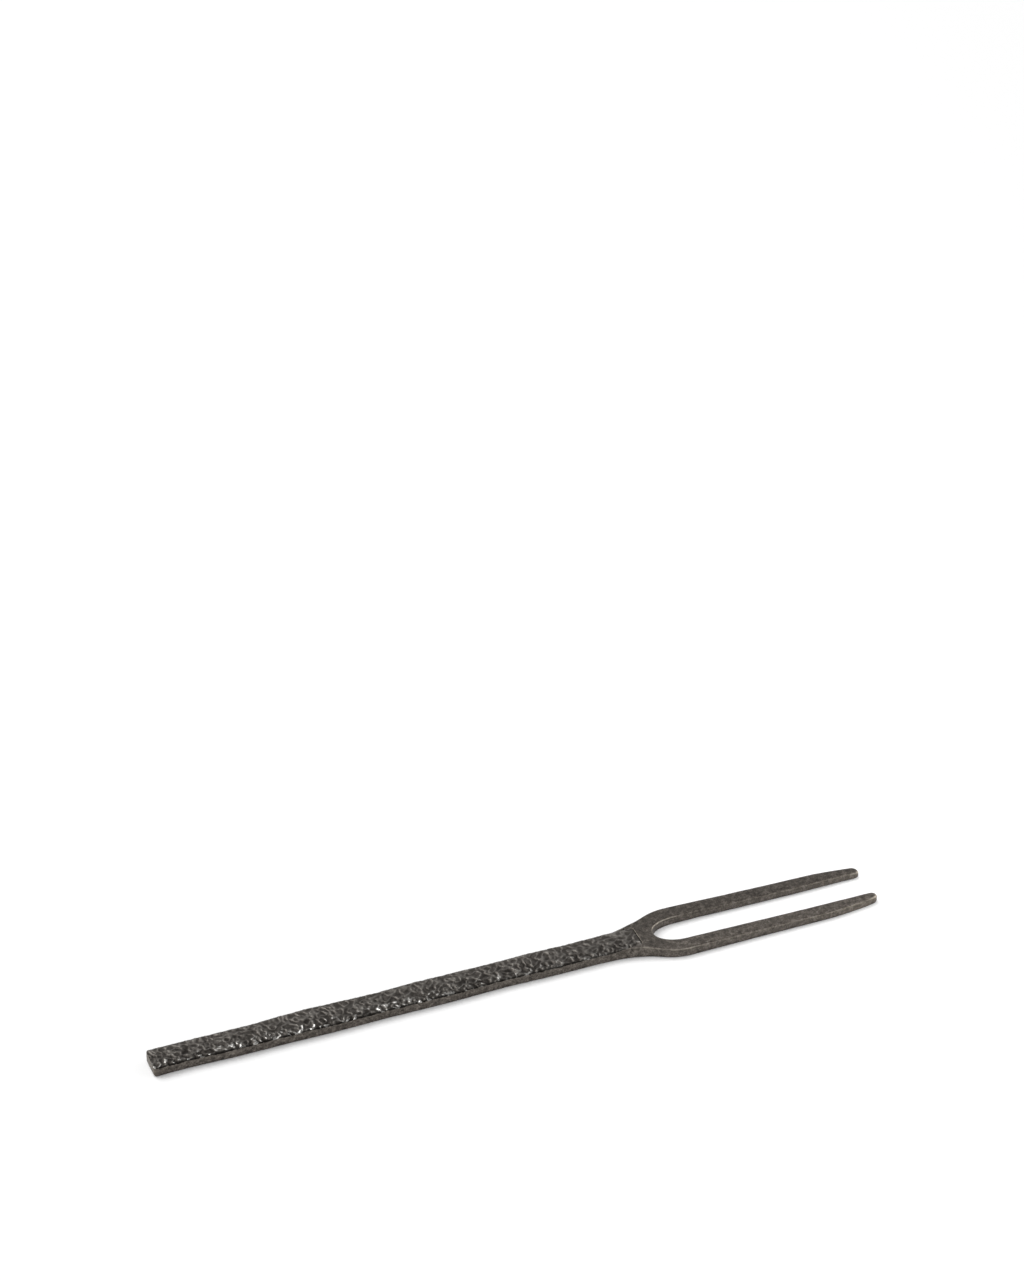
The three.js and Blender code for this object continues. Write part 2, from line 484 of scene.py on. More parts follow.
        # Rubbed edges with painted highlights on them: where the surface turns from the top to the
        # walls, strongest at the crotch and the noses
        turning = add_node(tree, "ShaderNodeValToRGB", {"Fac": upward})
        shape_ramp(turning.color_ramp, [
            (0.3, grey(0)), (0.55, grey(1)), (0.8, grey(1)), (0.96, grey(0)),
        ])
        edge = turning.outputs["Color"]
        off_crotch = add_node(tree, "ShaderNodeMath", {
            0: surface.to_tip, 1: self.crotch_to_tip,
        }, operation="SUBTRACT").outputs[0]
        from_crotch = add_node(tree, "ShaderNodeMath", {0: off_crotch}, operation="ABSOLUTE").outputs[0]
        crotch = add_node(tree, "ShaderNodeMapRange", {
            "Value": from_crotch,
            "From Min": self.crotch_rub_fade[0], "From Max": self.crotch_rub_fade[1],
            "To Min": self.edge_rub_and_highlight, "To Max": self.crotch_rub_and_highlight,
        }).outputs["Result"]
        nose = add_node(tree, "ShaderNodeMapRange", {
            "Value": surface.to_tip,
            "From Min": self.nose_rub_fade[0], "From Max": self.nose_rub_fade[1],
            "To Max": self.nose_rub_and_highlight,
        }).outputs["Result"]
        rub_and_highlight_strength = add_node(tree, "ShaderNodeMath", {0: crotch, 1: nose}, operation="MAXIMUM").outputs[0]
        edges = add_node(tree, "ShaderNodeMath", {0: edge, 1: rub_and_highlight_strength}, operation="MULTIPLY").outputs[0]
        wear_and_highlight = add_node(tree, "ShaderNodeMath", {0: edges, 1: patches}, operation="MULTIPLY").outputs[0]
        rubbed_and_highlit = add_node(tree, "ShaderNodeMix", {
            0: wear_and_highlight, 6: ground, 7: linear(self.rubbed_and_highlit),
        }, data_type="RGBA").outputs[2]

        # Bare metal on the walls of the tips and on the butt, partly painted highlight, with less of it
        # on the far side as painted light
        tips = add_node(tree, "ShaderNodeMapRange", {
            "Value": surface.to_tip,
            "From Min": self.tip_wear_fade[0], "From Max": self.tip_wear_fade[1],
            "To Max": self.tip_wear_and_highlight,
        }).outputs["Result"]
        near_side = add_node(tree, "ShaderNodeMapRange", {
            "Value": surface.across,
            "From Min": self.far_to_near_tip[0], "From Max": self.far_to_near_tip[1],
            "To Min": self.far_tip_share,
        }).outputs["Result"]
        outer = add_node(tree, "ShaderNodeMath", {0: edge, 1: wall}, operation="MAXIMUM").outputs[0]
        near_wall = add_node(tree, "ShaderNodeMath", {
            0: outer, 1: near_side,
        }, operation="MULTIPLY").outputs[0]
        tip_walls = add_node(tree, "ShaderNodeMath", {
            0: tips, 1: near_wall,
        }, operation="MULTIPLY").outputs[0]
        butt = add_node(tree, "ShaderNodeMapRange", {
            "Value": surface.from_butt,
            "From Min": self.butt_wear_fade[0], "From Max": self.butt_wear_fade[1],
            "To Max": self.butt_wear_and_highlight,
        }).outputs["Result"]
        ends = add_node(tree, "ShaderNodeMath", {0: tip_walls, 1: butt}, operation="MAXIMUM").outputs[0]
        bare_and_highlight_ends = add_node(tree, "ShaderNodeMath", {
            0: ends, 1: patches,
        }, operation="MULTIPLY").outputs[0]
        return add_node(tree, "ShaderNodeMix", {
            0: bare_and_highlight_ends, 6: rubbed_and_highlit, 7: linear(self.bare_and_highlight),
        }, data_type="RGBA").outputs[2]

    def material(self) -> bpy.types.Material:
        """Builds the material, once for all the pieces that share it.

        Returns:
            The finished material.
        """
        if self.name in bpy.data.materials:
            return bpy.data.materials[self.name]
        material, tree = new_material(self.name)
        surface = Surface.read(tree, self.mottle_size, self.grain_size)
        facing = add_node(tree, "ShaderNodeTexCoord", {}).outputs["Normal"]
        upward = add_node(tree, "ShaderNodeSeparateXYZ", {"Vector": facing}).outputs["Z"]
        wall = add_node(tree, "ShaderNodeMapRange", {
            "Value": upward, "From Min": self.top_to_wall[0], "From Max": self.top_to_wall[1],
        }).outputs["Result"]
        ground = self.ground(tree, surface, wall)
        wear_and_painted_light = self.wear_and_painted_light(tree, surface, upward, wall, ground)
        # Painted shade on the foot: the colour darkens where the surface faces down
        foot = add_node(tree, "ShaderNodeMapRange", {
            "Value": upward, "From Min": self.foot_to_wall[0], "From Max": self.foot_to_wall[1],
            "To Min": self.foot_shade,
        }).outputs["Result"]
        colour = add_node(tree, "ShaderNodeVectorMath", {
            0: wear_and_painted_light, "Scale": foot,
        }, operation="SCALE").outputs["Vector"]
        rough = add_node(tree, "ShaderNodeMapRange", {
            "Value": surface.mottle,
            "From Min": self.sheen_patches[0], "From Max": self.sheen_patches[1],
            "To Min": self.smoothest, "To Max": self.roughest,
        }).outputs["Result"]
        close_metal(tree, colour, rough, surface.grain, self.grain_depth)
        return material


@dataclass(frozen=True)
class PittedBrass:
    """The same blackened brass, cast with a web of ridges round hollows and polished by rubbing on the
    ridges.

    The eye sees near-black hollows, thin grey ridges with a wet gloss, and bright glints along the
    rolled edge, where rubbing has taken the ridges down to near-white metal that is partly painted
    highlight.
    Painted shade darkens the near side, the rolled edge and the butt end, and painted light lifts the
    far side, its hollows and the neck end. A span says where a change starts and ends: along the plate,
    across it, or by height or pattern.
    """

    name: str = "blackened pitted brass"
    hollow: str = "#33302d"
    slope: str = "#4b4743"
    plateau: str = "#5a5652"
    crest: str = "#7e7a75"
    # Near-white metal that stands for painted glints as much as for rubbing
    bare_and_highlight: str = "#dedcd8"
    # Painted light and shade: the near side, the butt end and the rolled edge darker, the far side, its
    # hollows and the neck end lighter
    near_shade: float = 0.72
    far_shade: float = 1.12
    shade_span: Span = (-2 * MM, 2.5 * MM)
    # Painted shade towards the butt end and painted light towards the neck
    butt_shade: float = 0.86
    neck_shade: float = 1.05
    butt_to_neck: Span = (5 * MM, 95 * MM)
    # Painted shade on the rolled near edge
    roll_shade: float = 0.35
    roll_span: Span = (0.3, 0.75)
    # Painted light in the hollows towards the far side
    far_painted_hollow_light: float = 0.25
    painted_hollow_light_span: Span = (-0.5 * MM, 2.5 * MM)
    mottle_size: float = 1.2 * MM
    # Finer on the real casting, and drawn as coarse as it needs to show
    grain_size: float = 0.3 * MM
    grain_depth: float = 0.02 * MM
    # Rubbed patches drawn near white along the rolled edge: partly painted glints
    glint_edge: Span = (-0.8 * MM, -2.0 * MM)
    glint_patches: Span = (0.52, 0.62)
    glint_heights: Span = (0.35, 0.8)
    glint_fade: Span = (50 * MM, 102 * MM)
    neck_glints: float = 0.2
    satin: float = 0.44
    gloss: float = 0.24

    def ground(self, tree: bpy.types.NodeTree, surface: Surface, height: Socket) -> Socket:
        """Adds the colour of the hollows and ridges before rubbing, with painted light and shade across
        the plate, along it and on the rolled edge.

        Args:
            tree: The material's node tree.
            surface: What the metal reads at a point.
            height: How much of a ridge stands at a point, from 0 to 1.

        Returns:
            The colour.
        """
        # Painted light: the hollows are lifted towards the far side, so that side shows less contrast
        painted_hollow_light = add_node(tree, "ShaderNodeMapRange", {
            "Value": surface.across, "From Min": self.painted_hollow_light_span[0], "From Max": self.painted_hollow_light_span[1],
            "To Max": self.far_painted_hollow_light,
        }).outputs["Result"]
        level = add_node(tree, "ShaderNodeMath", {0: height, 1: painted_hollow_light}, operation="MAXIMUM").outputs[0]
        tone = add_node(tree, "ShaderNodeValToRGB", {"Fac": level})
        shape_ramp(tone.color_ramp, [
            (0.0, linear(self.hollow)), (0.25, linear(self.slope)),
            (0.5, linear(self.plateau)), (1.0, linear(self.crest)),
        ])

        # Painted shade on the near side and painted light on the far side
        shade = add_node(tree, "ShaderNodeMapRange", {
            "Value": surface.across, "From Min": self.shade_span[0], "From Max": self.shade_span[1],
            "To Min": self.near_shade, "To Max": self.far_shade,
        }).outputs["Result"]
        # Painted shade on the rolled near edge, where it turns down towards the side
        roll = add_node(tree, "ShaderNodeAttribute", {}, attribute_name="roll").outputs["Fac"]
        painted_roll_shade = add_node(tree, "ShaderNodeMapRange", {
            "Value": roll, "From Min": self.roll_span[0], "From Max": self.roll_span[1],
            "To Min": 1.0, "To Max": self.roll_shade,
        }).outputs["Result"]
        # Painted shade towards the butt end and painted light towards the neck
        painted_along_shade = add_node(tree, "ShaderNodeMapRange", {
            "Value": surface.from_butt,
            "From Min": self.butt_to_neck[0], "From Max": self.butt_to_neck[1],
            "To Min": self.butt_shade, "To Max": self.neck_shade,
        }).outputs["Result"]
        # Painted shade of the rolled edge and along the plate, together
        wear_and_painted_light = add_node(tree, "ShaderNodeMath", {0: painted_roll_shade, 1: painted_along_shade}, operation="MULTIPLY").outputs[0]
        dimmed = add_node(tree, "ShaderNodeMath", {0: shade, 1: wear_and_painted_light}, operation="MULTIPLY").outputs[0]
        return add_node(tree, "ShaderNodeVectorMath", {
            0: tone.outputs["Color"], "Scale": dimmed,
        }, operation="SCALE").outputs["Vector"]

    def wear_and_highlight(self, tree: bpy.types.NodeTree, surface: Surface, height: Socket) -> Socket:
        """Adds the rubbing of the ridges, which takes them down to metal in patches along the rolled
        edge, drawn near white so that the patches are partly painted glints.

        Args:
            tree: The material's node tree.
            surface: What the metal reads at a point.
            height: How much of a ridge stands at a point, from 0 to 1.

        Returns:
            How much near-white metal and painted glint a point has, from 0 to 1.
        """
        to_edge = add_node(tree, "ShaderNodeMapRange", {
            "Value": surface.across, "From Min": self.glint_edge[0], "From Max": self.glint_edge[1],
        }).outputs["Result"]
        patches = add_node(tree, "ShaderNodeMapRange", {
            "Value": surface.mottle,
            "From Min": self.glint_patches[0], "From Max": self.glint_patches[1],
        }).outputs["Result"]
        high = add_node(tree, "ShaderNodeMapRange", {
            "Value": height, "From Min": self.glint_heights[0], "From Max": self.glint_heights[1],
        }).outputs["Result"]
        # Fewer painted glints towards the neck
        glints_along = add_node(tree, "ShaderNodeMapRange", {
            "Value": surface.from_butt, "From Min": self.glint_fade[0], "From Max": self.glint_fade[1],
            "To Min": 1.0, "To Max": self.neck_glints,
        }).outputs["Result"]
        spots = add_node(tree, "ShaderNodeMath", {
            0: patches, 1: glints_along,
        }, operation="MULTIPLY").outputs[0]
        rub_and_glint = add_node(tree, "ShaderNodeMath", {0: to_edge, 1: spots}, operation="MULTIPLY").outputs[0]
        return add_node(tree, "ShaderNodeMath", {0: rub_and_glint, 1: high}, operation="MULTIPLY").outputs[0]

    def material(self) -> bpy.types.Material:
        """Builds the material.

        Returns:
            The finished material.
        """
        material, tree = new_material(self.name)
        surface = Surface.read(tree, self.mottle_size, self.grain_size)
        height = add_node(tree, "ShaderNodeAttribute", {}, attribute_name="ridge").outputs["Fac"]
        wear_and_highlight = self.wear_and_highlight(tree, surface, height)
        # Near-white metal in the rubbed patches, partly painted glint
        colour = add_node(tree, "ShaderNodeMix", {
            0: wear_and_highlight, 6: self.ground(tree, surface, height), 7: linear(self.bare_and_highlight),
        }, data_type="RGBA").outputs[2]
        rough = add_node(tree, "ShaderNodeMapRange", {
            "Value": wear_and_highlight, "To Min": self.satin, "To Max": self.gloss,
        }).outputs["Result"]
        close_metal(tree, colour, rough, surface.grain, self.grain_depth)
        return material


@dataclass(frozen=True)
class BlackenedSolder:
    """Soft solder, wiped flush and blackened with the rest, so its seam hardly shows."""

    name: str = "soft solder, wiped and blackened"
    dull: str = "#59544e"
    pale: str = "#6a645c"
    grain_size: float = 0.4 * MM
    roughness: float = 0.55

    def material(self) -> bpy.types.Material:
        """Builds the material.

        Returns:
            The finished material.
        """
        material, tree = new_material(self.name)
        where = add_node(tree, "ShaderNodeTexCoord", {}).outputs["Object"]
        grain = add_node(tree, "ShaderNodeTexNoise", {
            "Vector": where, "Scale": 1 / self.grain_size, "Detail": 2.0,
        }).outputs["Fac"]
        tone = add_node(tree, "ShaderNodeValToRGB", {"Fac": grain})
        shape_ramp(tone.color_ramp, [(0.35, linear(self.dull)), (0.65, linear(self.pale))])
        shader = add_node(tree, "ShaderNodeBsdfPrincipled", {
            "Base Color": tone.outputs["Color"], "Metallic": 1.0, "Roughness": self.roughness,
        })
        add_node(tree, "ShaderNodeOutputMaterial", {"Surface": shader.outputs["BSDF"]})
        return material


@dataclass(frozen=True)
class StudioPaper:
    """Plain white paper sweep. It takes the fork's shadow and shows white where nothing shades it."""

    name: str = "matt white paper"
    white: str = "#f2f2f2"
    lift: float = 0.11

    def material(self) -> bpy.types.Material:
        """Builds the material.

        Returns:
            The finished material.
        """
        material, tree = new_material(self.name)
        paper = add_node(tree, "ShaderNodeBsdfDiffuse", {"Color": linear(self.white)})
        path = add_node(tree, "ShaderNodeLightPath", {}).outputs
        mirrored = add_node(tree, "ShaderNodeMath", {
            0: path["Is Glossy Ray"], 1: path["Is Transmission Ray"],
        }, operation="ADD").outputs[0]
        seen = add_node(tree, "ShaderNodeMath", {
            0: path["Is Camera Ray"], 1: mirrored,
        }, operation="ADD").outputs[0]
        strength = add_node(tree, "ShaderNodeMath", {
            0: seen, 1: self.lift,
        }, operation="MULTIPLY").outputs[0]
        glow = add_node(tree, "ShaderNodeEmission", {"Strength": strength})
        both = add_node(tree, "ShaderNodeAddShader", {
            0: paper.outputs["BSDF"], 1: glow.outputs["Emission"],
        })
        add_node(tree, "ShaderNodeOutputMaterial", {"Surface": both.outputs["Shader"]})
        return material


@dataclass
class Handle:
    """Sizes of the handle that the casting, the plate and the solder share, read from the frame.

    The wanders are places along the fork and outward strays of its sides, in millimetres.
    """

    corner_radius: float = 0.7 * MM
    plate_corner_radius: float = 1.0 * MM
    seat_clearance: float = 0.04 * MM
    near_wander: tuple[tuple[float, float], ...] = (
        (-80, 0.05), (-73, -0.1), (-62, 0.2), (-52, 0.18), (-42, 0.3),
        (-30, 0.11), (-18, 0.2), (-4, -0.1), (8, 0.1), (18, 0.06), (30, 0.0), (48, 0.05),
        (68, 0.18), (80, 0.15),
    )
    far_wander: tuple[tuple[float, float], ...] = (
        (-80, -0.27), (-70, -0.2), (-58, -0.28), (-50, 0.1), (-45, 0.22), (-40, -0.03),
        (-32, -0.22), (-20, 0.06), (-6, -0.1), (4, 0.08), (11, -0.12), (18, 0.0), (42, -0.05),
        (50, -0.15), (62, -0.25), (80, -0.1),
    )
    dent_length: float = 2.6 * MM
    dent_depth: float = 0.05 * MM

    def __post_init__(self) -> None:
        """Reads the places that the frame gives."""
        blank_low, blank_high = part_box("fork_blank")
        plate_low, plate_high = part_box("grip_plate")
        film_low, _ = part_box("solder_film")
        self.butt_x = blank_low.x
        self.tip_x = blank_high.x
        self.neck_thickness = blank_high.z
        self.half_width = plate_high.y
        self.plate_end_x = plate_high.x
        self.plate_bottom = plate_low.z
        self.tang_thickness = film_low.z

    @staticmethod
    def wander_at(x: float, stations: Sequence[tuple[float, float]]) -> float:
        """How far an edge strays outwards at a place along the fork.

        Args:
            x: The place along the fork.
            stations: Places and outward strays in millimetres, in order.

        Returns:
            The stray, with gentle bends between the stations.
        """
        for (start, low), (end, high) in zip(stations, stations[1:]):
            if x <= end * MM:
                return (low + (high - low) * ease((x / MM - start) / (end - start))) * MM
        return stations[-1][1] * MM

    def waver(self, piece: bpy.types.Object) -> None:
        """Gives a piece the slightly wavy sides of a hand-finished casting.

        The strays depend on place alone, so that pieces which lie flush stay flush.

        Args:
            piece: A finished mesh in its place.
        """
        for point in piece.data.vertices:
            place = point.co.copy()
            to_far = ease(0.5 + place.y / (2 * self.half_width))
            stray = self.wander_at(place.x, self.far_wander) * to_far
            stray -= self.wander_at(place.x, self.near_wander) * (1 - to_far)
            point.co.y += stray + self.dent_depth * noise.noise(place / self.dent_length)


@dataclass
class ForkBlank:
    """The smooth casting: tang, neck, head and the two tines, with the plate's seat cut in its top."""

    handle: Handle
    tine_length: float = 49.7 * MM
    flare_lead: float = 14 * MM
    flare_length: float = 20.1 * MM
    gap_at_root: float = 7.4 * MM
    gap_at_tip: float = 7.1 * MM
    crotch_length: float = 6.2 * MM
    tine_root_width: float = 3.6 * MM
    tine_body_width: float = 3.28 * MM
    tine_tip_width: float = 2.2 * MM
    tip_taper_length: float = 13 * MM
    tip_nose_length: float = 1.6 * MM
    tip_inner_radius: float = 0.9 * MM
    neck_bend: float = 0.71
    shoulder_bend: float = 0.38
    taper_bend: float = 0.52
    shoulder_thickness: float = 2.03 * MM
    tip_thickness: float = 1.65 * MM
    tine_crown: float = 0.12 * MM
    near_rise: float = 0.12 * MM
    tip_dome: float = 0.12 * MM
    nose_drop: float = 0.4 * MM
    top_round: float = 0.36 * MM
    bottom_round: float = 0.42 * MM
    rim_start: float = 17.5 * MM
    rim_low: float = 2.1 * MM
    rim_round: float = 0.12 * MM
    rim_reach: float = 0.01 * MM
    rim_depth: float = 0.1 * MM
    round_steps: int = 4
    rim_steps: int = 3
    station_step: float = 1.1 * MM
    lane_step: float = 0.5 * MM
    curve_steps: int = 22
    smooth_angle: float = math.radians(40)

    def __post_init__(self) -> None:
        """Works out the places along the fork."""
        handle = self.handle
        self.crotch_x = handle.tip_x - self.tine_length
        self.flare_x = self.crotch_x - self.flare_lead
        self.shoulder_x = self.flare_x + self.flare_length
        self.taper_x = handle.tip_x - self.tip_taper_length
        self.nose_x = handle.tip_x - self.tip_nose_length

    def half_gap(self, x: float) -> float:
        """Half of the gap between the tines.

        Args:
            x: The place along the fork.

        Returns:
            The half gap, which narrows evenly from the end of the crotch's round to the tips.
        """
        start = self.crotch_x + self.crotch_length
        share = (x - start) / (self.handle.tip_x - start)
        return (self.gap_at_root + (self.gap_at_tip - self.gap_at_root) * share) / 2

    def thickness(self, x: float) -> float:
        """Thickness of the casting at a place along it.

        Args:
            x: The place along the fork.

        Returns:
            The rim's rise beside the plate, then a quick drop from the neck that fades to the tips.
        """
        handle = self.handle
        if x <= handle.plate_end_x:
            rise = ease((x - self.rim_start) / (handle.plate_end_x - self.rim_start))
            return self.rim_low + (handle.neck_thickness - self.rim_low) * rise
        if x >= self.shoulder_x:
            to_tip = (handle.tip_x - x) / (handle.tip_x - self.shoulder_x)
            return self.tip_thickness + (self.shoulder_thickness - self.tip_thickness) * to_tip ** 2
        left = (self.shoulder_x - x) / (self.shoulder_x - handle.plate_end_x)
        return self.shoulder_thickness + (handle.neck_thickness - self.shoulder_thickness) * left ** 2

    def crown(self, x: float, y: float) -> float:
        """Height that the tines' slightly domed tops add to the even thickness.

        Args:
            x: The place along the fork.
            y: The place across it.

        Returns:
            The height: a low crown and a slightly thicker near tine that fade out towards the
            neck, and rounder edges and noses at the tips.
        """
        to_tip = max(0.0, (x - self.taper_x) / (self.handle.tip_x - self.taper_x))
        width = self.tine_root_width + (self.tine_tip_width - self.tine_root_width) * to_tip
        off_middle = (2 * (abs(y) - self.half_gap(x)) / width - 1) ** 2
        fade = ease((x - self.crotch_x) / self.crotch_length)
        crown = self.tine_crown * fade * max(0.0, 1 - off_middle)
        crown += self.near_rise * fade if y < 0 else 0.0
        to_nose = max(0.0, (x - self.nose_x) / self.tip_nose_length)
        return crown - self.tip_dome * to_tip ** 2 * min(1.0, off_middle) - self.nose_drop * to_nose ** 2

    def outline(self) -> list[Vector]:
        """The plan outline: one half from the butt round to the crotch, then its mirror image.

        Returns:
            The points in order round the fork.
        """
        handle = self.handle
        half, radius = handle.half_width, handle.corner_radius
        shoulder = Vector((self.shoulder_x, self.half_gap(self.shoulder_x) + self.tine_root_width))
        taper = Vector((self.taper_x, self.half_gap(self.taper_x) + self.tine_body_width))
        nose = Vector((self.nose_x, self.half_gap(self.nose_x) + self.tine_tip_width))
        tine_line = (taper - shoulder).normalized()
        inner = self.half_gap(handle.tip_x) + self.tip_inner_radius
        crotch = Vector((self.crotch_x + self.crotch_length, 0))

        points = [Vector((handle.butt_x, 0))]
        corner = Vector((handle.butt_x + radius, half - radius))
        points += arc(corner, Vector((radius, radius)), 180, 90, self.curve_steps // 2)
        points += bend([
            Vector((self.flare_x, half)),
            Vector((self.flare_x + self.neck_bend * self.flare_length, half)),
            shoulder - tine_line * self.shoulder_bend * self.flare_length,
            shoulder,
        ], 2 * self.curve_steps)
        points += bend([
            taper, taper + tine_line * self.taper_bend * (self.nose_x - self.taper_x), nose,
        ], self.curve_steps)
        nose_reach = Vector((self.tip_nose_length, nose.y - inner))
        points += arc(Vector((nose.x, inner)), nose_reach, 90, 0, self.curve_steps // 2)[1:]
        inner_radii = Vector((self.tip_inner_radius, self.tip_inner_radius))
        inner_centre = Vector((handle.tip_x - self.tip_inner_radius, inner))
        points += arc(inner_centre, inner_radii, 0, -90, self.curve_steps // 3)[1:]
        crotch_reach = Vector((self.crotch_length, self.gap_at_root / 2))
        points += arc(crotch, crotch_reach, 90, 180, self.curve_steps)
        return points + [Vector((p.x, -p.y)) for p in reversed(points[1:-1])]

    def seat_cutter(self) -> bpy.types.Object:
        """A block with two rounded corners that cuts the plate's seat.

        Returns:
            The block, which runs out past the butt and past both sides of the handle.
        """
        handle = self.handle
        start = handle.butt_x - handle.half_width
        end = handle.plate_end_x + handle.seat_clearance
        half = handle.half_width + handle.seat_clearance
        height = handle.neck_thickness
        bpy.ops.object.select_all(action="DESELECT")
        bpy.ops.mesh.primitive_cube_add(size=1)
        cutter = bpy.context.object
        for point in cutter.data.vertices:
            point.co.x = end if point.co.x > 0 else start
            point.co.y = half if point.co.y > 0 else -half
            point.co.z = handle.tang_thickness + (height if point.co.z > 0 else 0)
        middle = handle.tang_thickness + height / 2
        edit(cutter, Pick.EDGES, lambda m: m.x > end - SNUG and abs(m.z - middle) < SNUG)
        bpy.ops.mesh.bevel(
            offset=handle.plate_corner_radius + handle.seat_clearance, segments=self.curve_steps // 2,
        )
        leave_edit()
        return cutter

    def build(self) -> bpy.types.Object:
        """Models the casting.

        Returns:
            The finished mesh object.
        """
        blank = raise_slab("blank", self.outline(), 0.0, self.handle.neck_thickness)
        self.round_edges(blank)
        self.cut_stations(blank)
        self.thin(blank)
        self.cut_seat(blank)
        self.handle.waver(blank)
        smooth(blank, self.smooth_angle)
        return blank

    def round_edges(self, blank: bpy.types.Object) -> None:
        """Rounds the slab's top and bottom edges.

        Args:
            blank: The slab.
        """
        top = self.handle.neck_thickness
        for height, radius in ((top, self.top_round), (0.0, self.bottom_round)):
            edit(blank, Pick.EDGES, lambda m: abs(m.z - height) < SNUG)
            bpy.ops.mesh.bevel(offset=radius, segments=self.round_steps, clamp_overlap=False)
            leave_edit()

    def thin(self, blank: bpy.types.Object) -> None:
        """Brings the slab's upper half down to the thickness and the crown that it has along the fork.

        Args:
            blank: The rounded slab, with its stations cut.
        """
        top = self.handle.neck_thickness
        for point in blank.data.vertices:
            if point.co.z > top / 2:
                x, y, _ = point.co
                point.co.z += self.thickness(x) + self.crown(x, y) - top

    def cut_seat(self, blank: bpy.types.Object) -> None:
        """Cuts the plate's seat and rounds its rim at the neck.

        Args:
            blank: The shaped casting.
        """
        cutter = self.seat_cutter()
        finish_with(blank, "BOOLEAN", object=cutter, operation="DIFFERENCE", solver="EXACT")
        bpy.data.objects.remove(cutter)
        edit(blank, Pick.EDGES, self.on_seat_rim)
        bpy.ops.mesh.bevel(offset=self.rim_round, segments=self.rim_steps, loop_slide=False)
        leave_edit()

    def on_seat_rim(self, place: Vector) -> bool:
        """Says whether a place lies on the top rim of the seat, at its neck end or round its corners.

        Args:
            place: The middle of an edge.

        Returns:
            Whether it does.
        """
        handle = self.handle
        radius = handle.plate_corner_radius + handle.seat_clearance
        reach = place.x - (handle.plate_end_x + handle.seat_clearance - radius)
        over = abs(place.y) - (handle.half_width + handle.seat_clearance - radius)
        off_rim = abs(math.hypot(reach, max(0.0, over)) - radius)
        on_top = place.z > self.thickness(place.x) - self.rim_depth
        return reach > 0 and off_rim < self.rim_reach and on_top

    def cut_stations(self, blank: bpy.types.Object) -> None:
        """Cuts a grid of edges into the slab, so that its faces can bend and swell.

        Args:
            blank: The rounded slab.
        """
        edit(blank, Pick.FACES)
        low, high = Vector(blank.bound_box[0]), Vector(blank.bound_box[6])
        for axis, step in ((0, self.station_step), (1, self.lane_step)):
            count = math.floor((high[axis] - low[axis]) / step)
            direction = Vector((axis == 0, axis == 1, 0))
            for k in range(1, count):
                place = low + direction * (high[axis] - low[axis]) * k / count
                bpy.ops.mesh.select_all(action="SELECT")
                bpy.ops.mesh.bisect(plane_co=place, plane_no=direction, threshold=SNUG)
        leave_edit()

    def dress(self, blank: bpy.types.Object) -> None:
        """Gives the casting its finish and its place on the frame.

        Args:
            blank: The finished casting.
        """
        blank.data.materials.append(CastBrass().material())
        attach(blank, "root")
        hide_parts("fork_blank")


